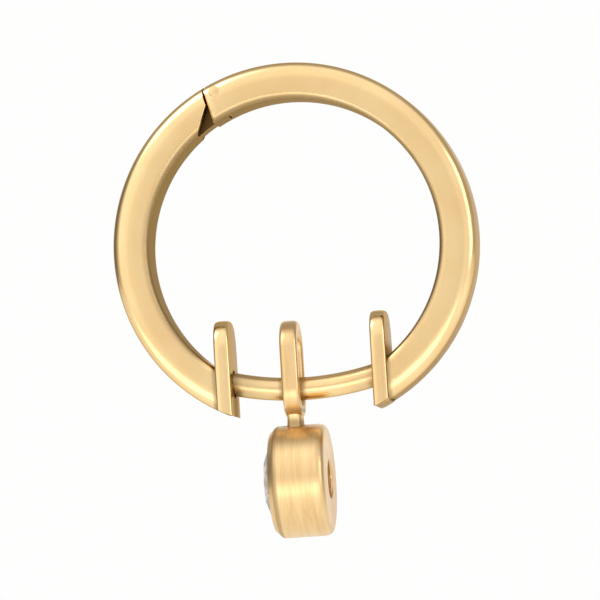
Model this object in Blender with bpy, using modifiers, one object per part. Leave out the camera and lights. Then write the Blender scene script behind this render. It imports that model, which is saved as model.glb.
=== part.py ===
"""Hinged huggie earring with a round bezel charm that swings on its ear post.

Blender 4.5, metres, +Z up. The origin is the middle of the ear post. The hoop stands in the XZ plane
above it and its axis runs along Y. The long arm carries the post. The short arm opens on the hinge pin
near the top and has the catch that takes the post's tip. The charm hangs from the post, and its stone
faces -X.
"""

import math

import bmesh
import bpy
from mathutils import Vector

MM = 0.001
WELD_DISTANCE = 0.0001 * MM
SHARP_ANGLE = 35.0
BEVEL_ANGLE = 30.0

# Hoop band: a rounded rectangle turned about the hoop's axis
HOOP_RADIUS = 7.0 * MM
BAND_THICKNESS = 1.4 * MM
BAND_WIDTH = 2.2 * MM
BAND_ROUND = 0.42 * MM
BAND_ROUND_STEPS = 3
HOOP_STEPS = 96

# Ear post: a bowed wire between the band's two ends, with a straight tip that goes into the catch.
# POST_TIP gives shares of the tip's length and of the wire's thickness.
LOBE_GAP = 5.44 * MM
POST_DIAMETER = 0.88 * MM
POST_SINK = 0.255 * MM
POST_BOW_RADIUS = 11.0 * MM
POST_GRIP = 0.83 * MM
POST_ROOT = 0.5 * MM
POST_STEPS = 16
POST_TIP = ((0.45, 1.0), (0.8, 1.0), (0.93, 0.82), (1.0, 0.5))
SOCKET_CLEARANCE = 0.1 * MM
SOCKET_SPARE = 0.15 * MM
SOCKET_SIDES = 24

# Guard plate on each end of the band
PLATE_THICKNESS = 0.58 * MM
PLATE_WIDTH = 2.5 * MM
PLATE_RISE = 2.45 * MM
PLATE_CORNER = 0.8 * MM
PLATE_CORNER_SHARE = 0.9
PLATE_CORNER_STEPS = 5
PLATE_BEVEL = 0.16 * MM
PLATE_TRIM = 0.04 * MM

# Hinge: the short arm's tongue turns between two ears of the long arm. Angles are in degrees.
HINGE_ANGLE = 114.0
PIN_DEPTH = 0.35 * MM
PIN_DIAMETER = 0.4 * MM
PIN_INSET = 0.02 * MM
PIN_SIDES = 20
EAR_LAP = 0.11 * MM
SEAM_TILT = 11.0
SEAM_WEDGE = 12.0
SHOULDER_START = 0.9
CUT_FLARE = 40.0
EAR_STEPS = 10
SHOULDER_STEPS = 6
TONGUE_STEPS = 12
TONGUE_WIDTH = 0.8 * MM
HINGE_CLEARANCE = 0.06 * MM
PIN_SEAT_CLEARANCE = 0.02 * MM
PIN_RUNNING_CLEARANCE = 0.04 * MM

# Stone: a round brilliant
STONE_DIAMETER = 3.5 * MM
TABLE_DIAMETER = 2.0 * MM
CROWN_HEIGHT = 0.5 * MM
GIRDLE_HEIGHT = 0.12 * MM
PAVILION_DEPTH = 1.5 * MM
STONE_PROUD = 0.25 * MM
STONE_CLEARANCE = 0.05 * MM
FACET_TURN = 22.5
MAIN_FACETS = 8
PAVILION_BREAK = 0.25

# Charm: bezel cup, neck and bail
BEZEL_WALL = 0.35 * MM
BEZEL_BACK = 0.33 * MM
BEZEL_LEAD = 1.0 * MM
LIP_BEVEL = 0.28 * MM
LIP_CURVE = (0.25, 0.4)
BACK_ROUND = 0.22 * MM
BACK_ROUND_STEPS = 3
BEZEL_STEPS = 48
BACK_HOLE_DIAMETER = 1.5 * MM
BACK_HOLE_CHAMFER = 0.1 * MM
NECK_CLEARANCE = 0.23 * MM
NECK_LENGTH = 0.71 * MM
NECK_THICKNESS = 0.66 * MM
NECK_WIDTH = 1.25 * MM
NECK_SINK = 0.28 * MM
NECK_BEVEL = 0.14 * MM
BAIL_OFFSET = -0.45 * MM
BAIL_WIDTH = 0.68 * MM
BAIL_THICKNESS = 0.5 * MM
BAIL_CLEARANCE = 0.2 * MM
BAIL_HEIGHT = 3.78 * MM
BAIL_EDGE = 0.12 * MM
BAIL_STEPS = 14

# Sizes that follow from the ones above
INNER_RADIUS = HOOP_RADIUS - BAND_THICKNESS
POST_RADIUS = POST_DIAMETER / 2
GAP_END = LOBE_GAP / 2
BAND_END = GAP_END + PLATE_THICKNESS / 2
POST_SAG = POST_BOW_RADIUS - math.sqrt(POST_BOW_RADIUS**2 - GAP_END**2)
HOOP_RISE = math.sqrt(INNER_RADIUS**2 - GAP_END**2) + POST_SINK + POST_SAG
PIN_ORBIT = HOOP_RADIUS - PIN_DEPTH
EAR_RADIUS = PIN_DEPTH + EAR_LAP
SHOULDER_RADIUS = EAR_RADIUS + HINGE_CLEARANCE
STONE_RADIUS = STONE_DIAMETER / 2
TABLE_RADIUS = TABLE_DIAMETER / 2
BORE_RADIUS = STONE_RADIUS + STONE_CLEARANCE
BEZEL_RADIUS = BORE_RADIUS + BEZEL_WALL
LIP_HEIGHT = CROWN_HEIGHT - STONE_PROUD
CULET_DEPTH = LIP_HEIGHT + GIRDLE_HEIGHT + PAVILION_DEPTH
BEZEL_LENGTH = CULET_DEPTH + BEZEL_BACK
BEZEL_TOP = -(POST_RADIUS + NECK_CLEARANCE + NECK_LENGTH)
BAIL_INSIDE = POST_RADIUS + BAIL_CLEARANCE
BAIL_OUTSIDE = BAIL_INSIDE + BAIL_THICKNESS
OUTSIDE = 1.5 * HOOP_RADIUS
FACING_X = (math.pi / 2, 0.0, math.pi / 2)

GOLD = (0.90, 0.66, 0.33, 1.0)
GOLD_ROUGHNESS = 0.18
STONE_TINT = (0.86, 0.85, 0.84, 1.0)
STONE_ROUGHNESS = 0.03
STONE_CLEARNESS = 0.85


def clear_scene():
    for thing in list(bpy.data.objects):
        bpy.data.objects.remove(thing)


def new_collection(name):
    collection = bpy.data.collections.new(name)
    bpy.context.scene.collection.children.link(collection)
    return collection


def principled(name, colour, roughness, metallic, transmission=0.0):
    material = bpy.data.materials.new(name)
    material.use_nodes = True
    shader = material.node_tree.nodes["Principled BSDF"]
    shader.inputs["Base Color"].default_value = colour
    shader.inputs["Roughness"].default_value = roughness
    shader.inputs["Metallic"].default_value = metallic
    shader.inputs["Transmission Weight"].default_value = transmission
    return material


def gold(part_name):
    return principled(part_name + "_gold", GOLD, GOLD_ROUGHNESS, 1.0)


def polar(radius, degrees, centre=(0.0, 0.0)):
    turn = math.radians(degrees)
    return (centre[0] + radius * math.cos(turn), centre[1] + radius * math.sin(turn))


def arc(centre, radius, start, end, steps):
    """Points of an arc in a flat outline, start and end in degrees."""
    return [polar(radius, start + (end - start) * i / steps, centre) for i in range(steps + 1)]


def mesh_object(name, mesh, collection):
    thing = bpy.data.objects.new(name, mesh)
    collection.objects.link(thing)
    return thing


def mark_cutter(thing):
    thing.hide_render = True
    thing.display_type = "WIRE"
    return thing


def curve_to_mesh(curve_object, name, collection):
    """A mesh object in the curve's place, its loose caps welded to its sides."""
    bpy.context.view_layer.update()
    graph = bpy.context.evaluated_depsgraph_get()
    mesh = bpy.data.meshes.new_from_object(curve_object.evaluated_get(graph))
    mesh.name = name
    shape = bmesh.new()
    shape.from_mesh(mesh)
    bmesh.ops.remove_doubles(shape, verts=shape.verts, dist=WELD_DISTANCE)
    bmesh.ops.recalc_face_normals(shape, faces=shape.faces)
    shape.to_mesh(mesh)
    shape.free()
    solid = mesh_object(name, mesh, collection)
    solid.matrix_world = curve_object.matrix_world.copy()
    bpy.data.objects.remove(curve_object)
    return solid


def flat_outline(name, points, depth, rotation, location, collection, opening=None):
    """An outline in its own XY plane, given depth along its own Z, with an opening where one is given."""
    curve = bpy.data.curves.new(name, "CURVE")
    curve.dimensions = "2D"
    curve.fill_mode = "BOTH"
    curve.extrude = depth / 2
    for loop in [points, opening] if opening else [points]:
        spline = curve.splines.new("POLY")
        spline.points.add(len(loop) - 1)
        for point, (across, up) in zip(spline.points, loop):
            point.co = (across, up, 0.0, 1.0)
        spline.use_cyclic_u = True
    thing = mesh_object(name + "_curve", curve, collection)
    thing.rotation_euler = rotation
    thing.location = location
    return curve_to_mesh(thing, name, collection)


def side_outline(name, points, depth, collection, beside=0.0):
    """A flat outline in the hoop's plane, measured from the hoop's centre, its middle at y = beside."""
    across_y = (math.pi / 2, 0.0, 0.0)
    place = (0.0, beside, HOOP_RISE)
    return mark_cutter(flat_outline(name, points, depth, across_y, place, collection))


def wire(name, points, diameter, collection, shares):
    """A round wire through the points. shares are its thickness at each point."""
    curve = bpy.data.curves.new(name, "CURVE")
    curve.dimensions = "3D"
    curve.bevel_depth = diameter / 2
    curve.bevel_resolution = 4
    curve.use_fill_caps = True
    spline = curve.splines.new("POLY")
    spline.points.add(len(points) - 1)
    for i, place in enumerate(points):
        spline.points[i].co = (*place, 1.0)
        spline.points[i].radius = shares[i]
    thing = mesh_object(name + "_curve", curve, collection)
    return curve_to_mesh(thing, name, collection)


def turned(name, profile, steps, collection):
    """A closed profile of (radius, height) turned about Z by a Screw modifier."""
    mesh = bpy.data.meshes.new(name)
    count = len(profile)
    edges = [(i, (i + 1) % count) for i in range(count)]
    mesh.from_pydata([(radius, 0.0, height) for radius, height in profile], edges, [])
    thing = mesh_object(name, mesh, collection)
    screw = thing.modifiers.new("turn", "SCREW")
    screw.steps = steps
    screw.render_steps = steps
    screw.use_merge_vertices = True
    screw.merge_threshold = WELD_DISTANCE
    screw.use_smooth_shade = True
    return thing


def cylinder(name, radius, length, location, rotation, sides, collection):
    shape = bmesh.new()
    bmesh.ops.create_cone(
        shape, cap_ends=True, segments=sides, radius1=radius, radius2=radius, depth=length
    )
    mesh = bpy.data.meshes.new(name)
    shape.to_mesh(mesh)
    shape.free()
    thing = mesh_object(name, mesh, collection)
    thing.location = location
    thing.rotation_euler = rotation
    return thing


def boolean(thing, other, operation):
    cut = thing.modifiers.new(operation.lower() + "_" + other.name, "BOOLEAN")
    cut.operation = operation
    cut.solver = "EXACT"
    cut.object = other


def bevel(thing, width, segments):
    edge = thing.modifiers.new("bevel", "BEVEL")
    edge.width = width
    edge.segments = segments
    edge.limit_method = "ANGLE"
    edge.angle_limit = math.radians(BEVEL_ANGLE)


def ride_on(parent, *things):
    bpy.context.view_layer.update()
    for thing in things:
        thing.parent = parent
        thing.matrix_parent_inverse = parent.matrix_world.inverted()


def joint_empty(name, location, collection):
    empty = bpy.data.objects.new(name, None)
    empty.empty_display_size = HOOP_RADIUS / 4
    empty.location = location
    collection.objects.link(empty)
    return empty


def post_height(across):
    """Height of the post's centreline, lowest at the middle and level past the catch plate."""
    reach = min(abs(across), GAP_END)
    return POST_BOW_RADIUS - math.sqrt(POST_BOW_RADIUS**2 - reach**2)


def hinge_centre():
    return polar(PIN_ORBIT, HINGE_ANGLE)


def leaving_angle(radius):
    """Angle from straight outwards at which a circle about the pin leaves the band's outer surface."""
    rise = HOOP_RADIUS**2 - PIN_ORBIT**2 - radius**2
    return math.degrees(math.acos(rise / (2 * PIN_ORBIT * radius)))


def band_profile():
    """The band's section: radius and place across its width, outer side first, with round corners."""
    half = BAND_WIDTH / 2
    corners = [
        (HOOP_RADIUS - BAND_ROUND, half - BAND_ROUND, 90.0),
        (HOOP_RADIUS - BAND_ROUND, -half + BAND_ROUND, 0.0),
        (INNER_RADIUS + BAND_ROUND, -half + BAND_ROUND, -90.0),
        (INNER_RADIUS + BAND_ROUND, half - BAND_ROUND, 180.0),
    ]
    profile = []
    for radius, height, start in corners:
        profile += arc((radius, height), BAND_ROUND, start, start - 90.0, BAND_ROUND_STEPS)
    return profile


def band_ring(name, collection):
    ring = turned(name, band_profile(), HOOP_STEPS, collection)
    ring.rotation_euler = (math.pi / 2, 0.0, 0.0)
    ring.location = (0.0, 0.0, HOOP_RISE)
    return ring


def long_arm_outline():
    """From the right end of the lobe gap over the top to the round ear ends at the hinge."""
    pin = hinge_centre()
    ear_end = HINGE_ANGLE + 90.0 - SEAM_TILT
    ear = arc(pin, EAR_RADIUS, HINGE_ANGLE, ear_end, EAR_STEPS)
    seam_foot = polar(BAND_THICKNESS, ear_end + 90.0, ear[-1])
    start = [(BAND_END, 0.0), (BAND_END, -OUTSIDE), (OUTSIDE, -OUTSIDE), (OUTSIDE, OUTSIDE)]
    return start + [polar(OUTSIDE / 2, HINGE_ANGLE, pin)] + ear + [seam_foot]


def shoulder_arc():
    """The short arm's shoulder, hollow about the pin, and the foot of the seam below it."""
    pin = hinge_centre()
    start = HINGE_ANGLE + SHOULDER_START * leaving_angle(SHOULDER_RADIUS)
    end = HINGE_ANGLE + 90.0 - SEAM_TILT
    shoulder = arc(pin, SHOULDER_RADIUS, start, end, SHOULDER_STEPS)
    seam_foot = polar(BAND_THICKNESS, end + 90.0 - SEAM_WEDGE, shoulder[-1])
    return [polar(OUTSIDE / 2, start, pin)] + shoulder + [seam_foot]


def short_arm_outline():
    """From the tongue's end, round about the pin, down the left side to the lobe gap."""
    pin = hinge_centre()
    tongue_end = arc(pin, EAR_RADIUS, HINGE_ANGLE, HINGE_ANGLE - 180.0, TONGUE_STEPS)
    foot = polar(BAND_THICKNESS, HINGE_ANGLE + 180.0, pin)
    finish = [(-BAND_END, 0.0), (-BAND_END, -OUTSIDE), (-OUTSIDE, -OUTSIDE), (-OUTSIDE, OUTSIDE / 2)]
    return tongue_end + [foot] + finish + [polar(OUTSIDE / 2, HINGE_ANGLE + CUT_FLARE, pin)]


def ear_room_outline():
    """What the long arm's ears need beside the tongue."""
    beyond = HINGE_ANGLE - math.degrees(4 * EAR_RADIUS / INNER_RADIUS)
    inside = polar(INNER_RADIUS - BAND_THICKNESS / 2, beyond)
    return shoulder_arc() + [inside, polar(OUTSIDE, beyond)]


def slot_outline():
    """The tongue's room in the long arm."""
    pin = hinge_centre()
    lean = math.degrees(math.asin(HINGE_CLEARANCE / SHOULDER_RADIUS))
    root = arc(pin, SHOULDER_RADIUS, HINGE_ANGLE, HINGE_ANGLE - 180.0 + lean, TONGUE_STEPS)
    foot = polar(BAND_THICKNESS, HINGE_ANGLE + 180.0, root[-1])
    far_turn = HINGE_ANGLE + math.degrees(2 * EAR_RADIUS / INNER_RADIUS)
    inside = polar(INNER_RADIUS - 2 * PIN_DEPTH, far_turn)
    outside = polar(HOOP_RADIUS + 2 * PIN_DEPTH, far_turn)
    return [outside, polar(2 * SHOULDER_RADIUS, HINGE_ANGLE, pin)] + root + [foot, inside]


def pin_hole(name, clearance, collection):
    across, up = hinge_centre()
    place = (across, 0.0, up + HOOP_RISE)
    radius = PIN_DIAMETER / 2 + clearance
    return cylinder(name, radius, 2 * BAND_WIDTH, place, (math.pi / 2, 0.0, 0.0), PIN_SIDES, collection)


def guard_plate(name, side, collection):
    """A plate across the band's end, arched on top and cut just inside the hoop's outer surface below."""
    half = PLATE_WIDTH / 2
    corner = min(PLATE_CORNER, PLATE_CORNER_SHARE * half)
    top = POST_SAG + PLATE_RISE
    points = arc((half - corner, top - corner), corner, 0.0, 90.0, PLATE_CORNER_STEPS)
    points += arc((-half + corner, top - corner), corner, 90.0, 180.0, PLATE_CORNER_STEPS)
    points += [(-half, HOOP_RISE - OUTSIDE), (half, HOOP_RISE - OUTSIDE)]
    place = (side * (GAP_END + PLATE_THICKNESS / 2), 0.0, 0.0)
    plate = mark_cutter(
        flat_outline(name, points, PLATE_THICKNESS, FACING_X, place, collection)
    )
    bevel(plate, PLATE_BEVEL, 2)
    hoop_disc = mark_cutter(
        cylinder(
            name + "_trim",
            HOOP_RADIUS - PLATE_TRIM,
            2 * PLATE_WIDTH,
            (0.0, 0.0, HOOP_RISE),
            (math.pi / 2, 0.0, 0.0),
            HOOP_STEPS,
            collection,
        )
    )
    boolean(plate, hoop_disc, "INTERSECT")
    return plate, hoop_disc


def ear_post(collection):
    """Bowed between the plates, then level and narrowed at the tip."""
    root = GAP_END + POST_ROOT
    bowed = [root - (root + GAP_END) * i / POST_STEPS for i in range(POST_STEPS + 1)]
    points = [(across, 0.0, post_height(across)) for across in bowed]
    points += [(-GAP_END - share * POST_GRIP, 0.0, POST_SAG) for share, _ in POST_TIP]
    shares = [1.0] * len(bowed) + [thickness for _, thickness in POST_TIP]
    return mark_cutter(wire("ear_post", points, POST_DIAMETER, collection, shares))


def make_main_arm(parts, cutters):
    arm = band_ring("main_arm", parts)
    sector = side_outline("main_sector", long_arm_outline(), 2 * BAND_WIDTH, cutters)
    slot_width = TONGUE_WIDTH + 2 * HINGE_CLEARANCE
    slot = side_outline("tongue_slot", slot_outline(), slot_width, cutters)
    hole = mark_cutter(pin_hole("ear_hole", PIN_SEAT_CLEARANCE, cutters))
    plate, _ = guard_plate("post_plate", 1, cutters)
    boolean(arm, sector, "INTERSECT")
    boolean(arm, slot, "DIFFERENCE")
    boolean(arm, hole, "DIFFERENCE")
    boolean(arm, plate, "UNION")
    boolean(arm, ear_post(cutters), "UNION")
    arm.data.materials.append(gold("main_arm"))
    return arm


def make_catch_arm(parts, cutters):
    arm = band_ring("catch_arm", parts)
    sector = side_outline("catch_sector", short_arm_outline(), 2 * BAND_WIDTH, cutters)
    aside = TONGUE_WIDTH / 2 + BAND_WIDTH / 2
    front = side_outline("front_ear_room", ear_room_outline(), BAND_WIDTH, cutters, -aside)
    back = side_outline("back_ear_room", ear_room_outline(), BAND_WIDTH, cutters, aside)
    hole = mark_cutter(pin_hole("tongue_hole", PIN_RUNNING_CLEARANCE, cutters))
    plate, trim = guard_plate("catch_plate", -1, cutters)
    depth = POST_GRIP + SOCKET_SPARE
    mouth = -GAP_END + PLATE_THICKNESS
    bottom = -GAP_END - depth
    socket = mark_cutter(
        cylinder(
            "post_socket",
            POST_RADIUS + SOCKET_CLEARANCE,
            mouth - bottom,
            ((mouth + bottom) / 2, 0.0, POST_SAG),
            (0.0, math.pi / 2, 0.0),
            SOCKET_SIDES,
            cutters,
        )
    )
    boolean(arm, sector, "INTERSECT")
    boolean(arm, front, "DIFFERENCE")
    boolean(arm, back, "DIFFERENCE")
    boolean(arm, hole, "DIFFERENCE")
    boolean(arm, plate, "UNION")
    boolean(arm, socket, "DIFFERENCE")
    arm.data.materials.append(gold("catch_arm"))
    across, up = hinge_centre()
    hinge = joint_empty("catch_hinge", (across, 0.0, up + HOOP_RISE), parts)
    ride_on(hinge, arm, sector, front, back, hole, plate, trim, socket)
    return arm


def make_hinge_pin(parts):
    across, up = hinge_centre()
    place = (across, 0.0, up + HOOP_RISE)
    length = BAND_WIDTH - 2 * PIN_INSET
    pin = cylinder(
        "hinge_pin", PIN_DIAMETER / 2, length, place, (math.pi / 2, 0.0, 0.0), PIN_SIDES, parts
    )
    pin.data.materials.append(gold("hinge_pin"))
    return pin


def bezel_profile():
    """Radius and height, from the lip's front face at height 0 down the outside and up the pocket."""
    crown_lean = math.atan2(CROWN_HEIGHT, STONE_RADIUS - TABLE_RADIUS)
    crown_at_lip = TABLE_RADIUS + (STONE_RADIUS - TABLE_RADIUS) * STONE_PROUD / CROWN_HEIGHT
    lip_inner = crown_at_lip + STONE_CLEARANCE / math.sin(crown_lean)
    pavilion_lean = math.atan2(PAVILION_DEPTH, STONE_RADIUS)
    seat_tip = -CULET_DEPTH - STONE_CLEARANCE / math.cos(pavilion_lean)
    seat_slope = PAVILION_DEPTH / STONE_RADIUS
    hole = BACK_HOLE_DIAMETER / 2
    profile = [(BEZEL_RADIUS - LIP_BEVEL, 0.0)]
    profile += [(BEZEL_RADIUS - LIP_CURVE[0] * LIP_BEVEL, -LIP_CURVE[1] * LIP_BEVEL)]
    profile += [(BEZEL_RADIUS, -LIP_BEVEL)]
    back = (BEZEL_RADIUS - BACK_ROUND, -BEZEL_LENGTH + BACK_ROUND)
    profile += arc(back, BACK_ROUND, 0.0, -90.0, BACK_ROUND_STEPS)
    profile += [(hole + BACK_HOLE_CHAMFER, -BEZEL_LENGTH)]
    profile += [(hole, -BEZEL_LENGTH + BACK_HOLE_CHAMFER)]
    profile += [(hole, seat_tip + hole * seat_slope)]
    profile += [(BORE_RADIUS, seat_tip + BORE_RADIUS * seat_slope)]
    profile += [(BORE_RADIUS, -LIP_HEIGHT + STONE_CLEARANCE / 2)]
    profile += [(lip_inner, 0.0)]
    return profile


def oblong(radius):
    """An outline round the post: half round about it below, straight sides, half round on top."""
    top = (0.0, BAIL_HEIGHT - 2 * BAIL_OUTSIDE)
    return arc((0.0, 0.0), radius, 180.0, 360.0, BAIL_STEPS) + arc(top, radius, 0.0, 180.0, BAIL_STEPS)


def bail_loop(collection):
    """A loop of flat strip that hangs on the post."""
    place = (BAIL_OFFSET, 0.0, 0.0)
    loop = mark_cutter(
        flat_outline(
            "bail", oblong(BAIL_OUTSIDE), BAIL_WIDTH, FACING_X, place, collection, oblong(BAIL_INSIDE)
        )
    )
    bevel(loop, BAIL_EDGE, 2)
    return loop


def facing_left(thing):
    """A turned piece's own Z set along -X, its front face at the lip's."""
    thing.rotation_euler = (0.0, -math.pi / 2, 0.0)
    thing.location = (BAIL_OFFSET - BEZEL_LEAD, 0.0, BEZEL_TOP - BEZEL_RADIUS)


def make_charm_setting(parts, cutters):
    setting = turned("charm_setting", bezel_profile(), BEZEL_STEPS, parts)
    facing_left(setting)
    neck_top = -POST_RADIUS - NECK_CLEARANCE
    neck_height = NECK_LENGTH + NECK_SINK
    shape = bmesh.new()
    bmesh.ops.create_cube(shape, size=1.0)
    bmesh.ops.scale(shape, verts=shape.verts, vec=(NECK_THICKNESS, NECK_WIDTH, neck_height))
    mesh = bpy.data.meshes.new("neck")
    shape.to_mesh(mesh)
    shape.free()
    neck = mark_cutter(mesh_object("neck", mesh, cutters))
    neck.location = (BAIL_OFFSET, 0.0, neck_top - neck_height / 2)
    bevel(neck, NECK_BEVEL, 2)
    bail = bail_loop(cutters)
    boolean(setting, neck, "UNION")
    boolean(setting, bail, "UNION")
    setting.data.materials.append(gold("charm_setting"))
    return setting, neck, bail


def brilliant_points():
    """Corners of a round brilliant's facets: table, star, girdle and pavilion corners, and the culet."""
    half_turn = math.cos(math.radians(FACET_TURN))
    star_radius = (TABLE_RADIUS * half_turn + STONE_RADIUS) / 2
    crown_run = STONE_RADIUS - TABLE_RADIUS
    girdle_top = -LIP_HEIGHT
    girdle_bottom = girdle_top - GIRDLE_HEIGHT
    star_height = girdle_top + CROWN_HEIGHT * (STONE_RADIUS - star_radius * half_turn) / crown_run
    break_radius = PAVILION_BREAK * STONE_RADIUS
    break_drop = PAVILION_DEPTH * (STONE_RADIUS - break_radius * half_turn) / STONE_RADIUS
    corners = [(0.0, 0.0, -CULET_DEPTH)]
    for i in range(MAIN_FACETS):
        turn = 2 * i * FACET_TURN
        corners.append((*polar(TABLE_RADIUS, turn), STONE_PROUD))
        corners.append((*polar(star_radius, turn + FACET_TURN), star_height))
        corners.append((*polar(break_radius, turn + FACET_TURN), girdle_bottom - break_drop))
    for i in range(2 * MAIN_FACETS):
        corners.append((*polar(STONE_RADIUS, i * FACET_TURN), girdle_top))
        corners.append((*polar(STONE_RADIUS, i * FACET_TURN), girdle_bottom))
    return corners


def make_stone(parts):
    shape = bmesh.new()
    for corner in brilliant_points():
        shape.verts.new(corner)
    hull = bmesh.ops.convex_hull(shape, input=shape.verts)
    unused = set(hull["geom_interior"]) | set(hull["geom_unused"])
    loose = [part for part in unused if isinstance(part, bmesh.types.BMVert)]
    bmesh.ops.delete(shape, geom=loose, context="VERTS")
    bmesh.ops.recalc_face_normals(shape, faces=shape.faces)
    mesh = bpy.data.meshes.new("stone")
    shape.to_mesh(mesh)
    shape.free()
    stone = mesh_object("stone", mesh, parts)
    facing_left(stone)
    stone.data.materials.append(principled("stone_clear", STONE_TINT, STONE_ROUGHNESS, 0.0, STONE_CLEARNESS))
    return stone


def smooth(thing):
    bpy.context.view_layer.update()
    thing.data.shade_smooth()
    thing.data.set_sharp_from_angle(angle=math.radians(SHARP_ANGLE))


def main():
    clear_scene()
    parts = new_collection("huggie_earring")
    cutters = new_collection("huggie_earring_cutters")
    make_main_arm(parts, cutters)
    make_catch_arm(parts, cutters)
    smooth(make_hinge_pin(parts))
    setting, neck, bail = make_charm_setting(parts, cutters)
    stone = make_stone(parts)
    swing = joint_empty("charm_swing", Vector((BAIL_OFFSET, 0.0, 0.0)), parts)
    ride_on(swing, setting, neck, bail, stone)
    bpy.context.view_layer.update()


main()
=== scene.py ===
# Looks of a hinged huggie earring: gold hoop, ear post, swinging bezel charm and its cut stone.
# The dictionaries hold what a user would change, in millimetres and degrees. Meshes are in metres.

import math

import bmesh
import bpy
import numpy as np
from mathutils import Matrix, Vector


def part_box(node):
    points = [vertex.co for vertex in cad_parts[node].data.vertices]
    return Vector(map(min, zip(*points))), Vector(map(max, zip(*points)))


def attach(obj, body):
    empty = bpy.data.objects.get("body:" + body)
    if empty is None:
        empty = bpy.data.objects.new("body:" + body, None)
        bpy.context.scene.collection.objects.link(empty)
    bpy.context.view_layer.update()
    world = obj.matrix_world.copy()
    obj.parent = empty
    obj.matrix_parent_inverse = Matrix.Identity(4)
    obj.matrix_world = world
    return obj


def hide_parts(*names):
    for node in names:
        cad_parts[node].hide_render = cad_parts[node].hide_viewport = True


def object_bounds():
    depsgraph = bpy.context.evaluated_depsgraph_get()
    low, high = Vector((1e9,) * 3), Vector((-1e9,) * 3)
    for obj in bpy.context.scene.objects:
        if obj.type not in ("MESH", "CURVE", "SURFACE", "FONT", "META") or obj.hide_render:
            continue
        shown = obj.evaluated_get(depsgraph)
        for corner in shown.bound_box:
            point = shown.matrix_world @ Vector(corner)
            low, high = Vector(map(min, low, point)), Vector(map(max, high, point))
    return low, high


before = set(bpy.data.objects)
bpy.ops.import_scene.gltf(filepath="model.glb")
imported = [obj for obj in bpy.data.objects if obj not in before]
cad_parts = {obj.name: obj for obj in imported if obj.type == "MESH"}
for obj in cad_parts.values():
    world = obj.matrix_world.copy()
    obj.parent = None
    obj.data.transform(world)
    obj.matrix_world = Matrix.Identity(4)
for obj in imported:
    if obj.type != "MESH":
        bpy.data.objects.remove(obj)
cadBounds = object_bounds()
mm = 0.001
print("frame loaded:", ", ".join(sorted(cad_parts)))


# Grids and meshes

sharpAngle = 32.0  # degrees; edges that turn by more stay crisp
weldDistance = 0.0005 * mm


def turnedBy(degrees):
    # (cos, sin) of an angle
    return np.array([math.cos(math.radians(degrees)), math.sin(math.radians(degrees))])


def arcPoints(centre, radius, start, end, count):
    # centre plus radius times (cos, sin) of an angle that runs evenly from start to end
    angle = np.radians(np.linspace(start, end, count))
    return np.asarray(centre) + radius * np.stack([np.cos(angle), np.sin(angle)], axis=-1)


def superEllipse(angle, power):
    # sign(cos) |cos|^(2/power) and the same of sin: a square with round corners and slightly full sides
    c, s = np.cos(angle), np.sin(angle)
    return np.sign(c) * np.abs(c) ** (2 / power), np.sign(s) * np.abs(s) ** (2 / power)


def ringFaces(rows, columns, joined):
    # quads between neighbouring rows, each row being a closed ring of points
    row = np.arange(rows if joined else rows - 1)[:, None] * columns
    above = (row + columns) % (rows * columns)
    column = np.arange(columns)
    onward = (column + 1) % columns
    corners = [row + column, row + onward, above + onward, above + column]
    return np.stack(np.broadcast_arrays(*corners), axis=-1).reshape(-1, 4)


def inScene(name, data):
    holder = bpy.data.objects.new(name, data)
    bpy.context.scene.collection.objects.link(holder)
    return holder


def meshOf(name, points, joined=False):
    # points is rows x columns x 3, in millimetres; open ends get a flat cap
    rows, columns = points.shape[:2]
    faces = ringFaces(rows, columns, joined).tolist()
    if not joined:
        faces += [list(range(columns))[::-1], list(range((rows - 1) * columns, rows * columns))]
    mesh = bpy.data.meshes.new(name)
    mesh.from_pydata((points.reshape(-1, 3) * mm).tolist(), [], faces)
    shape = bmesh.new()
    shape.from_mesh(mesh)
    bmesh.ops.recalc_face_normals(shape, faces=shape.faces)
    shape.to_mesh(mesh)
    shape.free()
    return inScene(name, mesh)


def combine(name, first, steps):
    # solid modelling in steps of (operation, other piece); what went in is removed
    for operation, other in steps:
        cut = first.modifiers.new(operation, "BOOLEAN")
        cut.operation, cut.object, cut.solver = operation, other, "EXACT"
    bpy.context.view_layer.update()
    graph = bpy.context.evaluated_depsgraph_get()
    mesh = bpy.data.meshes.new_from_object(first.evaluated_get(graph))
    for used in [first] + [other for _, other in steps]:
        bpy.data.objects.remove(used)
    return finished(name, mesh)


def finished(name, mesh):
    # welded, shaded smooth between its sharp edges, and put into the scene
    shape = bmesh.new()
    shape.from_mesh(mesh)
    bmesh.ops.remove_doubles(shape, verts=shape.verts, dist=weldDistance)
    bmesh.ops.dissolve_degenerate(shape, edges=shape.edges, dist=weldDistance)
    shape.to_mesh(mesh)
    shape.free()
    mesh.shade_smooth()
    mesh.set_sharp_from_angle(angle=math.radians(sharpAngle))
    mesh.name = name
    return inScene(name, mesh)


# Hoop and hinge

hoopShape = {
    "outerRadius": 7.0, "thickness": 1.4, "width": 2.2, "stations": 300,
    "outerCorner": (0.8, 0.5), "outerFullness": 2.8, "innerCorner": (0.3, 0.28), "innerFullness": 2.3,
}
hingeShape = {
    "angle": 114.0, "earLap": 0.06, "clearance": 0.06, "tongueWidth": 0.8, "beyondFace": 0.004,
    "seamTilt": 9.0, "seamStraight": 0.42, "seamWedge": 35.0, "earRound": (0.3, 0.13),
    "shoulderRound": (0.07, 0.07), "pinDepth": 0.35, "pinDiameter": 0.4, "pinReach": 1.045,
    "pinDome": 0.02, "earRing": 0.008, "tongueRing": 0.04,
}
plateShape = {
    "gap": 5.44, "thickness": 0.58, "width": 2.5, "rise": 2.45, "squareness": 2.6,
    "edge": 0.13, "edgeFullness": 3.2, "inside": 0.03,
}
postShape = {
    "diameter": 0.88, "bowRadius": 11.0, "grip": 0.83, "root": 0.5,
    "socketGap": 0.1, "socketSpare": 0.15, "socketMouth": 0.6,
}

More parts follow.
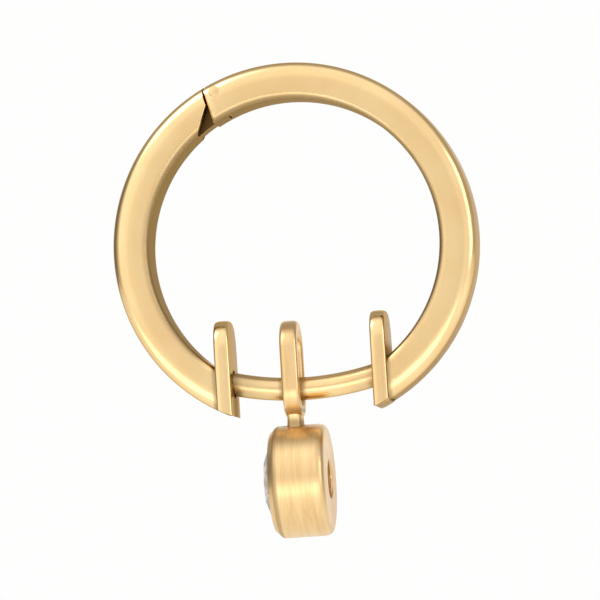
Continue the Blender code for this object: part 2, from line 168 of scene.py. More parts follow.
outer = hoopShape["outerRadius"]
inner = outer - hoopShape["thickness"]
halfBand = hoopShape["width"] / 2
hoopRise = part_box("main_arm")[1].z / mm - outer  # the hoop's centre above the middle of the post
gapEnd = plateShape["gap"] / 2
bandEnd = gapEnd + plateShape["thickness"] / 2
plateBack = gapEnd + plateShape["thickness"]
far = 1.5 * outer  # well outside the hoop
pinOrbit = outer - hingeShape["pinDepth"]
earRadius = hingeShape["pinDepth"] + hingeShape["earLap"]
shoulderRadius = earRadius + hingeShape["clearance"]
pinSpot = pinOrbit * turnedBy(hingeShape["angle"])
postSag = postShape["bowRadius"] - math.sqrt(postShape["bowRadius"] ** 2 - gapEnd ** 2)


def bandSection():
    # a rectangle whose four corners are quarter superellipses, long and easy outside, small inside
    (outX, outY), (inX, inY) = hoopShape["outerCorner"], hoopShape["innerCorner"]
    quarter = np.linspace(0, np.pi / 2, 15)
    c, s = superEllipse(quarter, hoopShape["outerFullness"])
    outside = np.stack([outer - outX + outX * c, halfBand - outY + outY * s], axis=-1)
    c, s = superEllipse(quarter, hoopShape["innerFullness"])
    inside = np.stack([inner + inX - inX * c, halfBand - inY + inY * s], axis=-1)[::-1]
    half = np.concatenate([outside, inside])
    return np.concatenate([half, half[::-1] * (1, -1)])


def bandRing(name):
    # the section of (radius, y) is turned about the hoop's axis
    turn = np.linspace(0, 2 * np.pi, hoopShape["stations"], endpoint=False)[:, None]
    radius, y = bandSection().T
    points = np.stack([radius * np.cos(turn), y + 0 * turn, hoopRise + radius * np.sin(turn)], axis=-1)
    return meshOf(name, points, joined=True)


def slab(name, outline, levels, insets):
    # the outline stands in the hoop's plane; at each level of y its points move inwards by that inset
    outline = np.asarray(outline)
    ahead = np.roll(outline, -1, axis=0) - outline
    ahead = ahead / np.linalg.norm(ahead, axis=1, keepdims=True)
    mean = ahead + np.roll(ahead, 1, axis=0)
    mean = mean / np.linalg.norm(mean, axis=1, keepdims=True)
    area = np.sum(outline[:, 0] * np.roll(outline[:, 1], -1) - np.roll(outline[:, 0], -1) * outline[:, 1])
    inward = np.sign(area) * np.stack([-mean[:, 1], mean[:, 0]], axis=-1)
    moved = outline + np.asarray(insets)[:, None, None] * inward
    level = np.broadcast_to(np.asarray(levels)[:, None], moved.shape[:2])
    return meshOf(name, np.stack([moved[..., 0], level, moved[..., 1] + hoopRise], axis=-1))


def roundedLevels(half, edge):
    # a quarter ellipse at each side: y = half - depth (1 - sin t), inset = reach (1 - cos t)
    reach, depth = edge
    t = np.linspace(np.pi / 2, 0, 8)
    side = half - depth * (1 - np.sin(t))
    inset = reach * (1 - np.cos(t))
    return np.concatenate([-side, side[::-1]]), np.concatenate([inset, inset[::-1]])


def leavingAngle(radius):
    # where a circle about the pin leaves the outer surface, by the cosine rule, from straight outwards
    return math.degrees(math.acos((outer ** 2 - pinOrbit ** 2 - radius ** 2) / (2 * pinOrbit * radius)))


def longArmOutline():
    # what the long arm keeps of the ring: down the middle of its plate, round the right and over the
    # top, then the ear's arc about the pin and a straight line down the tilted seam
    angle, tilt = hingeShape["angle"], hingeShape["seamTilt"]
    ear = arcPoints(pinSpot, earRadius, angle, angle + 90 - tilt, 16)
    foot = ear[-1] + hoopShape["thickness"] * turnedBy(angle + 180 - tilt)
    beyondPin = pinSpot + far / 2 * turnedBy(angle)
    start = [(bandEnd, 0.0), (bandEnd, -far), (far, -far), (far, far), beyondPin]
    return np.concatenate([start, ear, [foot]])


def shortArmOutline():
    # what the short arm keeps: half a circle about the pin, which is the tongue's round end, straight
    # in through the band, down the middle of the left plate, and back round the left
    angle = hingeShape["angle"]
    pastEnd = 40.0  # degrees round the pin, so that the outline closes clear of the band
    end = arcPoints(pinSpot, earRadius, angle, angle - 180, 24)
    foot = pinSpot + hoopShape["thickness"] * turnedBy(angle + 180)
    rest = [foot, (-bandEnd, 0.0), (-bandEnd, -far), (-far, -far), (-far, far / 2),
            pinSpot + far / 2 * turnedBy(angle + pastEnd)]
    return np.concatenate([end, rest])


def earRoomOutline():
    # what makes room for the ears: an arc about the pin with clearance, the seam's straight part, its
    # wedge, which leans into the short arm, and a way round what lies right of the pin
    angle, tilt = hingeShape["angle"], hingeShape["seamTilt"]
    start = angle + 0.9 * leavingAngle(shoulderRadius)  # still outside the band
    shoulder = arcPoints(pinSpot, shoulderRadius, start, angle + 90 - tilt, 10)
    bend = shoulder[-1] + hingeShape["seamStraight"] * turnedBy(angle + 180 - tilt)
    foot = bend + hoopShape["thickness"] * turnedBy(angle + 180 - tilt - hingeShape["seamWedge"])
    beyond = angle - math.degrees(4 * earRadius / inner)
    rest = [bend, foot, (inner - hoopShape["thickness"] / 2) * turnedBy(beyond), far * turnedBy(beyond)]
    return np.concatenate([[pinSpot + far / 2 * turnedBy(start)], shoulder, rest])


def slotOutline():
    # what makes room for the tongue in the long arm: nearly half a circle about the pin with clearance,
    # straight in through the inner wall, and round what lies left of the pin
    angle = hingeShape["angle"]
    lean = math.degrees(math.asin(hingeShape["clearance"] / shoulderRadius))
    root = arcPoints(pinSpot, shoulderRadius, angle, angle - 180 + lean, 20)
    foot = root[-1] + hoopShape["thickness"] * turnedBy(angle + 180)
    beyond = angle + math.degrees(2 * earRadius / inner)
    depth = hingeShape["pinDepth"]
    return np.concatenate([
        [(outer + 2 * depth) * turnedBy(beyond), pinSpot + 2 * shoulderRadius * turnedBy(angle)],
        root, [foot, (inner - 2 * depth) * turnedBy(beyond)]])


def pinBody(name, radius, half, dome=0.0):
    # a cylinder along y whose ends are low domes: y = half + dome (1 - share^2), radius times share
    rings, around = 8, 48
    share = np.linspace(0.05, 1, rings)
    share = np.concatenate([share, share[::-1]])
    side = np.repeat([-1.0, 1.0], rings)
    level = side * (half + dome * (1 - share ** 2))
    turn = np.linspace(0, 2 * np.pi, around, endpoint=False)
    x = pinSpot[0] + radius * share[:, None] * np.cos(turn)
    z = pinSpot[1] + hoopRise + radius * share[:, None] * np.sin(turn)
    return meshOf(name, np.stack([x, np.broadcast_to(level[:, None], x.shape), z], axis=-1))


def guardPlate(name, side):
    # slices across x, each a superelliptic arch over a straight foot; the feet follow the hoop's
    # outer circle, and towards both faces the slices shrink by the rounding of the edge
    share = np.sin(np.linspace(-np.pi / 2, np.pi / 2, 17))[:, None]
    x = gapEnd + plateShape["thickness"] / 2 * (1 + share)
    fullness = plateShape["edgeFullness"]
    inset = plateShape["edge"] * (1 - np.clip(1 - np.abs(share) ** fullness, 0, 1) ** (1 / fullness))
    half = plateShape["width"] / 2 - inset
    top = postSag + plateShape["rise"] - inset
    foot = hoopRise - np.sqrt((outer - plateShape["inside"]) ** 2 - x ** 2) + inset / 2
    shoulder = top - plateShape["width"] / 2
    c, s = superEllipse(np.linspace(0, np.pi, 41), plateShape["squareness"])
    y = np.concatenate([half * c, -half, -half / 2, half / 2, half], axis=1)
    z = np.concatenate([shoulder + (top - shoulder) * s, foot, foot, foot, foot], axis=1)
    return meshOf(name, np.stack([side * np.broadcast_to(x, y.shape), y, z], axis=-1))


def tube(name, path, radius, breadth=None, around=36, joined=False, power=2.0):
    # path is stations x 3 in a plane of constant y or x
    # point = path + radius c normal + breadth s binormal, where (c, s) runs round a superellipse,
    # which is a circle at power 2 with breadth equal to radius
    if joined:
        ahead = np.roll(path, -1, axis=0) - np.roll(path, 1, axis=0)
    else:
        ahead = np.gradient(path, axis=0)
    ahead = ahead / np.linalg.norm(ahead, axis=1, keepdims=True)
    flatAxis = np.array([0.0, 1.0, 0.0]) if np.ptp(path[:, 1]) < 1e-9 else np.array([1.0, 0.0, 0.0])
    sideways = np.cross(ahead, flatAxis)
    c, s = superEllipse(np.linspace(0, 2 * np.pi, around, endpoint=False)[None, :, None], power)
    reach = np.broadcast_to(radius, len(path))[:, None, None]
    breadth = reach if breadth is None else breadth
    points = path[:, None] + reach * c * sideways[:, None] + breadth * s * flatAxis
    return meshOf(name, points, joined)


def earPost(name):
    # z = bow radius - sqrt(bow radius^2 - x^2) between the plates, level beyond, with a round nose
    radius = postShape["diameter"] / 2
    tip = gapEnd + postShape["grip"]
    stations, smallest = 120, 0.04  # the nose ends in a flat of that share of the radius
    nose = np.linspace(0, np.pi / 2, 9)[1:]
    x = np.concatenate([np.linspace(gapEnd + postShape["root"], -tip + radius, stations),
                        -tip + radius - radius * np.sin(nose)])
    thick = radius * np.concatenate([np.ones(stations), np.clip(np.cos(nose), smallest, 1)])
    bow = postShape["bowRadius"]
    z = bow - np.sqrt(bow ** 2 - np.clip(x, -gapEnd, None) ** 2)
    return tube(name, np.stack([x, 0 * x, z], axis=-1), thick)


def makeHoop():
    face, outside = halfBand + hingeShape["beyondFace"], 2 * halfBand
    levels, insets = roundedLevels(face, hingeShape["earRound"])
    halfTongue = hingeShape["tongueWidth"] / 2
    halfSlot = halfTongue + hingeShape["clearance"]
    pinRadius = hingeShape["pinDiameter"] / 2
    pinHalf = hingeShape["pinReach"] - hingeShape["pinDome"]

    longArm = combine("longArm", bandRing("band"), [
        ("INTERSECT", slab("sector", longArmOutline(), levels, insets)),
        ("DIFFERENCE", slab("slot", slotOutline(), [-halfSlot, halfSlot], [0.0, 0.0])),
        ("DIFFERENCE", pinBody("earHole", pinRadius + hingeShape["earRing"], outside)),
        ("UNION", guardPlate("plate", 1)),
        ("UNION", earPost("post")),
    ])
    # the room for each ear widens near the band's face, which rounds the shoulder over
    edge, depth = hingeShape["shoulderRound"]
    flare = np.linspace(0, np.pi / 2, 6)
    room = np.concatenate([[halfTongue], face - depth * (1 - np.sin(flare)), [outside]])
    grow = -np.concatenate([[0.0], edge * (1 - np.cos(flare)), [edge]])
    socketRadius = postShape["diameter"] / 2 + postShape["socketGap"]
    socketEnd = -gapEnd - postShape["grip"] - postShape["socketSpare"]
    socketStart = -gapEnd + postShape["socketMouth"]
    socketPath = np.linspace((socketStart, 0.0, postSag), (socketEnd, 0.0, postSag), 3)
    shortArm = combine("shortArm", bandRing("band"), [
        ("INTERSECT", slab("sector", shortArmOutline(), [-outside, outside], [0.0, 0.0])),
        ("DIFFERENCE", slab("roomBack", earRoomOutline(), room, grow)),
        ("DIFFERENCE", slab("roomFront", earRoomOutline(), -room, grow)),
        ("DIFFERENCE", pinBody("tongueHole", pinRadius + hingeShape["tongueRing"], outside)),
        ("UNION", guardPlate("plate", -1)),
        ("DIFFERENCE", tube("socket", socketPath, socketRadius)),
    ])
    pin = pinBody("hingePinEnds", pinRadius, pinHalf, hingeShape["pinDome"])
    mesh = pin.data
    bpy.data.objects.remove(pin)
    hingePin = finished("hingePin", mesh)
    return longArm, shortArm, hingePin


# Charm

charmShape = {
    "offset": -0.45, "stripWidth": 0.68, "stripThickness": 0.5, "stripFullness": 3.6, "clearance": 0.2,
    "height": 3.78, "neckClearance": 0.23, "neckLength": 0.71, "neckThickness": 0.66, "neckWidth": 1.25,
    "neckSink": 0.28, "neckFullness": 3.2, "neckCrown": (0.16, 0.72), "neckWaist": (0.1, 0.72),
    "bezelRadius": 2.15, "bezelLength": 2.2, "lead": 1.0, "lipBevel": 0.28, "lipInner": 1.47,
    "bore": 1.8, "lipHeight": 0.23, "seatDrop": 0.395, "backHole": 0.75, "seatTip": 1.295,
    "backRound": 0.34,
}


def roundedProfile(corners):
    # each corner (radius, depth, distance) becomes a quadratic curve, start (1 - t)^2 + end t^2,
    # that starts and ends its distance from the corner
    beyond = 1.25  # one more point on each side keeps the flats flat
    spots = np.array([corner[:2] for corner in corners])
    before = np.roll(spots, 1, axis=0) - spots
    after = np.roll(spots, -1, axis=0) - spots
    before = before / np.linalg.norm(before, axis=1, keepdims=True)
    after = after / np.linalg.norm(after, axis=1, keepdims=True)
    reach = np.array([corner[2] for corner in corners])[:, None, None]
    t = np.linspace(0, 1, 7)[None, :, None]
    start, end = before[:, None] * reach, after[:, None] * reach
    curve = start * (1 - t) ** 2 + end * t ** 2
    bend = np.concatenate([beyond * start, curve, beyond * end], axis=1)
    return (spots[:, None] + bend).reshape(-1, 2)


bezelMiddle = -(postShape["diameter"] / 2 + charmShape["neckClearance"] + charmShape["neckLength"]
                + charmShape["bezelRadius"])
bezelTop = bezelMiddle + charmShape["bezelRadius"]


def bezelCup(name):
    # the profile of (radius, depth behind the lip) turned about the stone's axis
    shape = charmShape
    front = shape["offset"] - shape["lead"]
    profile = roundedProfile([
        (shape["bezelRadius"] - shape["lipBevel"], 0.0, 0.06),
        (shape["bezelRadius"], shape["lipBevel"], 0.1),
        (shape["bezelRadius"], shape["bezelLength"], shape["backRound"]),
        (shape["backHole"], shape["bezelLength"], 0.08),
        (shape["backHole"], shape["seatTip"], 0.03),
        (shape["bore"], shape["seatDrop"], 0.01),
        (shape["bore"], shape["lipHeight"], 0.01),
        (shape["lipInner"], 0.0, 0.03),
    ])
    turn = np.linspace(0, 2 * np.pi, 220, endpoint=False)[:, None]
    radius, depth = profile[:, 0], profile[:, 1]
    y, z = radius * np.sin(turn), bezelMiddle + radius * np.cos(turn)
    return meshOf(name, np.stack([front + depth + 0 * turn, y, z], axis=-1), joined=True)


def neck(name):
    # superelliptic sections stacked along z: a quarter ellipse rounds the crown over and half a sine
    # wave draws the waist in, by the shares of height and size that neckCrown and neckWaist hold
    shape = charmShape
    top = -postShape["diameter"] / 2 - shape["neckClearance"]
    height = shape["neckLength"] + shape["neckSink"]
    crown, crownSize = shape["neckCrown"]
    waistDepth, waistSpan = shape["neckWaist"]
    t = np.concatenate([np.linspace(0, crown, 9), np.linspace(0.2, 1, 24)])
    roundOver = np.sqrt(np.clip(1 - (1 - np.clip(t / crown, 0, 1)) ** 2, 0, 1))
    waist = 1 - waistDepth * np.sin(np.pi * np.clip((t - crown) / waistSpan, 0, 1))
    size = (crownSize + (1 - crownSize) * roundOver) * waist
    turn = np.linspace(0, 2 * np.pi, 64, endpoint=False)
    c, s = superEllipse(turn, shape["neckFullness"])
    x = shape["offset"] + shape["neckThickness"] / 2 * size[:, None] * c
    y = shape["neckWidth"] / 2 * size[:, None] * s
    z = np.broadcast_to((top - height * t)[:, None], x.shape)
    return meshOf(name, np.stack([x, y, z], axis=-1))


def bailLoop(name):
    # a flat strip carried round an oblong: half a circle about the post, straight sides and
    # half a circle on top
    shape = charmShape
    radius = postShape["diameter"] / 2 + shape["clearance"] + shape["stripThickness"] / 2
    rise = shape["height"] - 2 * radius - shape["stripThickness"]
    below = arcPoints((0.0, 0.0), radius, 180, 360, 60)
    side = np.linspace(0, rise, 12)[1:-1, None]
    up = np.concatenate([radius + 0 * side, side], axis=1)
    above = arcPoints((0.0, rise), radius, 0, 180, 60)
    down = np.concatenate([-radius + 0 * side, side[::-1]], axis=1)
    path = np.concatenate([below, up, above, down])
    path = np.insert(path, 0, shape["offset"], axis=1)
    return tube(name, path, shape["stripThickness"] / 2, shape["stripWidth"] / 2,
                around=64, joined=True, power=shape["stripFullness"])


def makeCharm():
    return combine("charmSetting", bezelCup("bezel"), [
        ("UNION", neck("neckBlock")),
        ("UNION", bailLoop("bail")),
    ])


longArm, shortArm, hingePin = makeHoop()
print("hoop made:", len(longArm.data.polygons), "and", len(shortArm.data.polygons), "faces")
charmSetting = makeCharm()
print("charm made:", len(charmSetting.data.polygons), "faces")


# Materials

class Signal:
    # a socket that takes part in Python sums; each operation adds a Math node
    def __init__(self, tree, socket):
        self.tree, self.socket = tree, socket

    def math(self, operation, *others):
        values = dict(enumerate((self,) + others))
        return addNode(self.tree, "ShaderNodeMath", {"operation": operation}, values)

    def __add__(self, other):
        return self.math("ADD", other)

    def __sub__(self, other):
        return self.math("SUBTRACT", other)

    def __rsub__(self, other):
        return addNode(self.tree, "ShaderNodeMath", {"operation": "SUBTRACT"}, {0: other, 1: self})

    def __mul__(self, other):
        return self.math("MULTIPLY", other)

    __radd__ = __add__
    __rmul__ = __mul__

    def part(self, index):
        return Signal(self.tree, self.socket.node.outputs[index])

    def fade(self, span, origin=0.0):
        # eases from 0 to 1 as the value goes from the origin plus the span's first number to the
        # origin plus its second
        low, high = span
        return addNode(self.tree, "ShaderNodeMapRange", {"interpolation_type": "SMOOTHSTEP"},
                       {"Value": self, "From Min": origin + low, "From Max": origin + high})


def addNode(tree, kind, settings=None, sockets=None):
    # settings first, then values or links by socket name or number; the result is the first output in use
    node = tree.nodes.new(kind)
    for key, value in (settings or {}).items():
        setattr(node, key, value)
    for key, value in (sockets or {}).items():
        if isinstance(value, Signal):
            tree.links.new(value.socket, node.inputs[key])
        else:
            node.inputs[key].default_value = value
    shown = [output for output in node.outputs if output.enabled]
    return Signal(tree, shown[0]) if shown else node


def mixColours(tree, share, first, second):
    return addNode(tree, "ShaderNodeMix", {"data_type": "RGBA"}, {0: share, 6: first, 7: second})


def newMaterial(name):
    # a new material, its node tree and its shader
    material = bpy.data.materials.new(name)
    material.use_nodes = True
    tree = material.node_tree
    return material, tree, tree.nodes["Principled BSDF"]


def feed(tree, shader, links, values):
    # links go to the shader's sockets, and constants are set on them
    for key, signal in links.items():
        tree.links.new(signal.socket, shader.inputs[key])
    for key, value in values.items():
        shader.inputs[key].default_value = value


# In each look, the third and fourth colours are painted shade: a mid shade and the deepest shade.
hoopLook = {
    "light": (0.96, 0.70, 0.36, 1.0), "deep": (0.88, 0.59, 0.27, 1.0), "paintedShade": (0.36, 0.25, 0.12, 1.0),
    "paintedDeepShade": (0.12, 0.07, 0.02, 1.0), "edgeTint": (0.52, 0.41, 0.26, 1.0),
    "roughness": 0.18, "smear": 0.12, "lines": 0.12, "streaks": 0.25,
}
pinLook = dict(hoopLook, roughness=0.21)
charmLook = {
    "light": (0.87, 0.62, 0.32, 1.0), "deep": (0.74, 0.49, 0.22, 1.0), "paintedShade": (0.36, 0.25, 0.12, 1.0),
    "paintedDeepShade": (0.14, 0.09, 0.04, 1.0), "edgeTint": (1.0, 1.0, 1.0, 1.0),
    "roughness": 0.33, "smear": 0.12, "lines": 0.12, "streaks": 0.8,
}
# Where painted shade lies the gold also grows rougher, and over its share from 0.9 to 1 it deepens to the
# darkest painted shade colour.
goldGrain = {
    "fineScale": 5.0, "broadScale": 1.0, "cloudScale": 420.0, "fineShare": 0.4, "contrast": (0.38, 0.64),
    "cloudSmear": 0.08, "paintedShadeRoughness": 0.25, "paintedDeepShade": (0.9, 1.0), "lineDepth": 0.02,
}


def goldMaterial(name, look, lines, paintedShade):
    # lines(tree, x, y, z) is a vector whose first part varies quickly across the polishing marks;
    # the last argument gives at (x, y, z) the share of painted shade, up to 0.9 where shade falls and 1
    # where it is deepest
    material, tree, shader = newMaterial(name)
    place = addNode(tree, "ShaderNodeTexCoord").part("Object")
    split = addNode(tree, "ShaderNodeSeparateXYZ", None, {"Vector": place})
    x, y, z = split * (1 / mm), split.part("Y") * (1 / mm), split.part("Z") * (1 / mm)  # in millimetres
    along = lines(tree, x, y, z)
    grain = goldGrain
    fine = addNode(tree, "ShaderNodeTexNoise", None,
                   {"Vector": along, "Scale": grain["fineScale"], "Detail": 3.0})
    broad = addNode(tree, "ShaderNodeTexNoise", None,
                    {"Vector": along, "Scale": grain["broadScale"], "Detail": 2.0})
    cloud = addNode(tree, "ShaderNodeTexNoise", None,
                    {"Vector": place, "Scale": grain["cloudScale"], "Detail": 2.0})
    streaks, fineShare = look["streaks"], grain["fineShare"]
    mottle = cloud * (1 - streaks) + broad * (streaks * (1 - fineShare)) + fine * (streaks * fineShare)
    share = mottle.fade(grain["contrast"])
    # painted shade: where this share is high the gold darkens towards the painted shade colours and grows
    # rougher
    paintedShadeShare = paintedShade(x, y, z)
    colour = mixColours(tree, share * (0.5 + 0.5 * streaks), look["light"], look["deep"])
    dark = mixColours(tree, paintedShadeShare.fade(grain["paintedDeepShade"]), look["paintedShade"], look["paintedDeepShade"])
    colour = mixColours(tree, paintedShadeShare, colour, dark)
    smear = (fine - 0.5) * look["smear"] + (broad - 0.5) * look["smear"]
    smear = smear + (cloud - 0.5) * grain["cloudSmear"]
    rough = smear + paintedShadeShare * grain["paintedShadeRoughness"] + look["roughness"]
    bump = addNode(tree, "ShaderNodeBump", None,
                   {"Strength": look["lines"], "Distance": grain["lineDepth"] * mm, "Height": fine})
    feed(tree, shader, {"Base Color": colour, "Roughness": rough, "Normal": bump},
         {"Metallic": 1.0, "Specular Tint": look["edgeTint"]})
    return material


def aboutHoop(x, z):
    # the height above the hoop's axis and the distance from it
    up = z - hoopRise
    return up, (x * x + up * up).math("SQRT")


def hoopLines(tree, x, y, z):
    # polished round the hoop: the distance from the hoop's axis varies quickly, the turn slowly
    up, distance = aboutHoop(x, z)
    turn = up.math("ARCTAN2", x)
    quick, slow = 5, 3
    return addNode(tree, "ShaderNodeCombineXYZ", None, {0: distance * quick, 1: turn * slow, 2: y * slow})


# Each pair says where painted shade begins and where it is full, in millimetres from what the note names.
# A level is a height above the middle of the post. The single numbers are how dark the painted shade gets
# there.
hoopShadeSpots = {
    "wallInside": (0.0, 0.1), "wallOutside": (-0.05, -0.25),  # the band's inner and outer radius
    "wallAside": (0.98, 0.7), "wallLevel": (2.0, 3.0),  # the hoop's middle plane
    "plateSide": (-0.62, -0.07), "plateSideShare": 0.45,  # the plates' inner faces
    "postAside": (0.6, 0.46), "postLevel": (1.0, 0.6),  # the post's middle
    "bailSide": (0.28, 0.02), "bailShare": 0.75,  # the edge of the bail's strip
    "postEnds": (-1.42, -0.32), "postEndsShare": 0.25,  # the plates' inner faces
    "postLeft": (-0.2, -1.2), "postLeftShare": 0.2,  # the post's middle, towards its tip
    "plateFront": (-0.42, -0.06), "plateThrough": (0.18, 0.04), "plateShare": 0.35,  # the inner faces
    "jointBeyond": (0.22, 0.04), "jointBefore": (-0.04, 0.0),  # the plates' backs
    "jointLevel": (1.7, 1.2), "jointShare": 0.8,
    "innerWallFrom": (-0.1, -0.03), "innerWallTo": (0.3, 0.08),  # the band's inner radius
    "innerWallLevel": (0.9, 1.6), "innerWallShare": 0.85,
}


# The hoop's painted shade: darker gold where shade falls in the hinge, at the plates and post, and on the
# inner wall.
def hoopPaintedShade(x, y, z):
    shadeSpot = hoopShadeSpots
    distance = aboutHoop(x, z)[1]
    aside, reach = y.math("ABSOLUTE"), x.math("ABSOLUTE")
    # painted shade inside the band's section: on the hinge's walls, the plates' feet and the ends of the
    # post
    within = distance.fade(shadeSpot["wallInside"], inner) * distance.fade(shadeSpot["wallOutside"], outer)
    besidePlate = reach.fade(shadeSpot["plateSide"], gapEnd) * shadeSpot["plateSideShare"]
    level = z.fade(shadeSpot["wallLevel"]).math("MAXIMUM", besidePlate)
    within = within * aside.fade(shadeSpot["wallAside"]) * level
    # painted shade on the post beside the bail, which keeps its place along it, near the plates and at
    # its tip
    fromBail = (x - charmShape["offset"]).math("ABSOLUTE")
    besideBail = fromBail.fade(shadeSpot["bailSide"], charmShape["stripWidth"] / 2)
    nearPlate = reach.fade(shadeSpot["plateFront"], gapEnd) * reach.fade(shadeSpot["plateThrough"], gapEnd)
    onPost = aside.fade(shadeSpot["postAside"]) * z.fade(shadeSpot["postLevel"]) * (
        besideBail * shadeSpot["bailShare"] + reach.fade(shadeSpot["postEnds"], gapEnd) * shadeSpot["postEndsShare"]
        + x.fade(shadeSpot["postLeft"]) * shadeSpot["postLeftShare"] + nearPlate * shadeSpot["plateShare"])
    # a thin painted shadow line where the plate's back meets the band, and painted shade on the inner
    # wall
    joint = reach.fade(shadeSpot["jointBeyond"], plateBack) * reach.fade(shadeSpot["jointBefore"], plateBack)
    joint = joint * z.fade(shadeSpot["jointLevel"])
    wall = distance.fade(shadeSpot["innerWallTo"], inner) * distance.fade(shadeSpot["innerWallFrom"], inner)
    wall = wall * z.fade(shadeSpot["innerWallLevel"])
    total = within.math("MAXIMUM", onPost) + joint * shadeSpot["jointShare"] + wall * shadeSpot["innerWallShare"]
    return total.math("MINIMUM", 1.0)


def bezelLines(tree, x, y, z):
    # turned about the stone's axis: x varies quickly, the rest slowly
    quick, slow = 4.5, 0.35
    return addNode(tree, "ShaderNodeCombineXYZ", None, {0: x * quick, 1: y * slow, 2: z * slow})


# Spans and shares of the charm's painted shade, in millimetres from what each note names.
charmShadeSpots = {
    "footReach": (0.6, 0.34), "footStretch": (0.35, 3), "footShare": 0.75,  # from the foot of the neck
    "stepRise": 0.55, "stepReach": (0.12, 0.03), "stepShare": 0.5,  # above the bezel's top
    "holeReach": (0.07, -0.01), "holeDepth": (0.2, -0.5), "holeShare": 0.2,  # from the back hole's edge
    "lipReach": (0.14, 0.04), "lipRadius": (-0.25, -0.1), "lipShare": 0.6,  # from the bezel's outside
    "most": 0.9,
}


# The charm's painted shade: darker gold where shade falls at the neck, the bezel's back hole and its lip.
def charmPaintedShade(x, y, z):
    shadeSpot = charmShadeSpots
    # painted shade round the foot of the neck, under the bail where the neck begins, and inside the
    # bezel's back
    across, drop = x - charmShape["offset"], z - bezelTop
    wide, low = shadeSpot["footStretch"]
    foot = (across * across + y * y * wide + drop * drop * low).math("SQRT").fade(shadeSpot["footReach"])
    step = (z - (bezelTop + shadeSpot["stepRise"])).math("ABSOLUTE").fade(shadeSpot["stepReach"])
    up = z - bezelMiddle
    distance = (y * y + up * up).math("SQRT")
    hole = distance.fade(shadeSpot["holeReach"], charmShape["backHole"]) * x.fade(shadeSpot["holeDepth"])
    # a painted shadow line round the bezel where its lip begins
    lipStart = charmShape["offset"] - charmShape["lead"] + charmShape["lipBevel"]
    lip = (x - lipStart).math("ABSOLUTE").fade(shadeSpot["lipReach"])
    lip = lip * distance.fade(shadeSpot["lipRadius"], charmShape["bezelRadius"])
    total = foot * shadeSpot["footShare"] + step * shadeSpot["stepShare"]
    total = total + hole * shadeSpot["holeShare"] + lip * shadeSpot["lipShare"]
    return total.math("MINIMUM", shadeSpot["most"])


stoneLook = {
    "light": (0.97, 0.97, 0.98, 1.0), "deep": (0.90, 0.89, 0.92, 1.0), "cloudScale": 700.0,
    "roughness": 0.005, "smear": 0.03, "transmission": 0.8, "ior": 2.0,
}


def stoneMaterial():
    material, tree, shader = newMaterial("clearStone")
    place = addNode(tree, "ShaderNodeTexCoord").part("Object")
    cloud = addNode(tree, "ShaderNodeTexNoise", None,
                    {"Vector": place, "Scale": stoneLook["cloudScale"], "Detail": 1.0})
    colour = mixColours(tree, cloud, stoneLook["light"], stoneLook["deep"])
    rough = cloud * stoneLook["smear"] + stoneLook["roughness"]
    feed(tree, shader, {"Base Color": colour, "Roughness": rough},
         {"Transmission Weight": stoneLook["transmission"], "IOR": stoneLook["ior"]})
    return material


def dress(piece, material):
    # one material over the whole piece
    piece.data.materials.clear()
    piece.data.materials.append(material)
    piece.data.polygons.foreach_set("material_index", np.zeros(len(piece.data.polygons), dtype=np.int32))


hoopGold = goldMaterial("hoopGold", hoopLook, hoopLines, hoopPaintedShade)
dress(longArm, hoopGold)
dress(shortArm, hoopGold)
dress(hingePin, goldMaterial("pinGold", pinLook, hoopLines, hoopPaintedShade))
dress(charmSetting, goldMaterial("charmGold", charmLook, bezelLines, charmPaintedShade))
dress(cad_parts["stone"], stoneMaterial())
print("materials made:", len(bpy.data.materials))

for piece, body, node, slot in [
    (longArm, "hoop", "main_arm", "hoop_gold"),
    (shortArm, "catch", "catch_arm", "hoop_gold"),
    (hingePin, "hoop", "hinge_pin", "pin_gold"),
    (charmSetting, "charm", "charm_setting", "charm_gold"),
]:
    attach(piece, body)
    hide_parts(node)


# Studio

studio = {
    "azimuth": 7.0, "elevation": -4.0, "roll": 3.5, "distance": 300.0, "frameHeight": 23.0,
    "sensorWidth": 36.0, "background": (0.99, 0.99, 0.985, 1.0),
    "floorDrop": 45.0, "floorRadius": 900.0,
    "floorColour": (0.93, 0.93, 0.92, 1.0), "floorRoughness": 0.7,
}


def makeFloor():
    # a disc: the distance from the middle times (cos, sin), all at one level below the earring
    rings, around = 12, 96
    distance = studio["floorRadius"] * np.linspace(0.02, 1, rings)[:, None]
    turn = np.linspace(0, 2 * np.pi, around, endpoint=False)
    level = cadBounds[0][2] / mm - studio["floorDrop"]
    x, y = distance * np.cos(turn), distance * np.sin(turn)
    points = np.stack([x, y, np.full(x.shape, level)], axis=-1) * mm
    faces = ringFaces(rings, around, False).tolist() + [list(range(around))[::-1]]
    mesh = bpy.data.meshes.new("paleFloor")
    mesh.from_pydata(points.reshape(-1, 3).tolist(), [], faces)
    floor = inScene("paleFloor", mesh)
    material, tree, shader = newMaterial("paleFloor")
    feed(tree, shader, {}, {"Base Color": studio["floorColour"], "Roughness": studio["floorRoughness"]})
    dress(floor, material)


# Each span is the part of a direction, from -1 to 1, over which that light or the card comes in.
roomLight = {
    "sides": 0.45, "front": 0.6, "fromLeft": 0.22, "fromAbove": 0.12, "frontSpan": (-0.05, 0.45),
    "cameraZone": 0.2, "cameraSpan": (0.93, 0.985), "paper": 0.6, "paperSpan": (-0.7, -0.88),
    "leftCard": 0.6, "leftSpan": (-0.72, -0.92), "floorLift": 0.4,
    "below": (1.0, 0.97, 0.93, 1.0), "above": (1.0, 1.0, 1.0, 1.0),
}


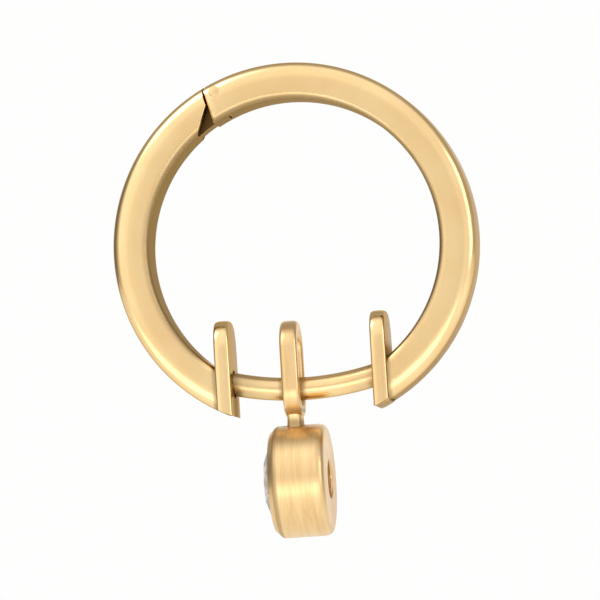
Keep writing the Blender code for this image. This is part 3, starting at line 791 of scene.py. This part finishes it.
def makeWorld():
    # a white room with paper straight behind, dim at the sides and where the photographer stands,
    # lighter on the left and above; what is seen directly or through the stone is plain white
    world = bpy.data.worlds.new("softRoom")
    bpy.context.scene.world = world
    world.use_nodes = True
    tree = world.node_tree
    background = tree.nodes["Background"]
    look = addNode(tree, "ShaderNodeTexCoord").part("Generated")
    split = addNode(tree, "ShaderNodeSeparateXYZ", None, {"Vector": look})
    x, towards, z = split, split.part("Y") * -1, split.part("Z")
    room = roomLight
    front = towards.fade(room["frontSpan"])
    level = (front * (room["front"] - x * room["fromLeft"] + z * room["fromAbove"])
             - towards.fade(room["cameraSpan"]) * room["cameraZone"]
             + towards.fade(room["paperSpan"]) * room["paper"] + room["sides"])
    # a dark card at the far left draws the thin outline on that side
    level = level * (1 - x.fade(room["leftSpan"]) * room["leftCard"])
    path = addNode(tree, "ShaderNodeLightPath")
    level = level * (1 + path.part("Is Diffuse Ray") * room["floorLift"])
    seen = (path.part("Is Camera Ray") + path.part("Is Transmission Ray")).math("MINIMUM", 1.0)
    warm = mixColours(tree, z.fade((-1.0, 1.0)), room["below"], room["above"])
    colour = mixColours(tree, seen, warm, studio["background"])
    tree.links.new(colour.socket, background.inputs["Color"])
    strength = level * (1 - seen) + seen
    tree.links.new(strength.socket, background.inputs["Strength"])


lamps = {
    "keyLight": {"place": (-160, -140, 220), "size": (150, 150), "brightness": 2.0},
    "sideLight": {"place": (220, -120, 60), "size": (120, 160), "brightness": 1.3},
    "frontCard": {"place": (-15, -75, -30), "size": (150, 34), "brightness": 0.95},
}


def hangLamp(name, place, size, brightness):
    # a soft panel that faces the hoop; its power follows from its area and the brightness it shows
    light = bpy.data.lights.new(name, "AREA")
    light.shape, light.size, light.size_y = "RECTANGLE", size[0] * mm, size[1] * mm
    light.energy = math.pi * light.size * light.size_y * brightness
    lamp = inScene(name, light)
    lamp.location = np.asarray(place) * mm
    lamp.rotation_euler = Vector(np.negative(place)).to_track_quat("-Z", "Y").to_euler()
    lamp.visible_camera = False


def makeCamera():
    # looks at the middle of the CAD's box from its azimuth and elevation, rolled as the photo is
    low, high = np.array(cadBounds[0]) / mm, np.array(cadBounds[1]) / mm
    target = (low + high) / 2
    azimuth, elevation = math.radians(studio["azimuth"]), math.radians(studio["elevation"])
    away = np.array([math.sin(azimuth) * math.cos(elevation), -math.cos(azimuth) * math.cos(elevation),
                     math.sin(elevation)])
    camera = bpy.data.cameras.new("camera")
    camera.sensor_width = studio["sensorWidth"]
    camera.lens = studio["sensorWidth"] * studio["distance"] / studio["frameHeight"]
    camera.clip_start = mm
    holder = inScene("camera", camera)
    holder.location = (target + studio["distance"] * away) * mm
    level = Vector(-away).to_track_quat("-Z", "Y").to_matrix()
    roll = Matrix.Rotation(math.radians(-studio["roll"]), 3, "Z")
    holder.rotation_euler = (level @ roll).to_euler()
    bpy.context.scene.camera = holder


makeFloor()
makeWorld()
for lampName, lampFacts in lamps.items():
    hangLamp(lampName, **lampFacts)
makeCamera()
bpy.context.scene.view_settings.view_transform = "Standard"
print("studio made")
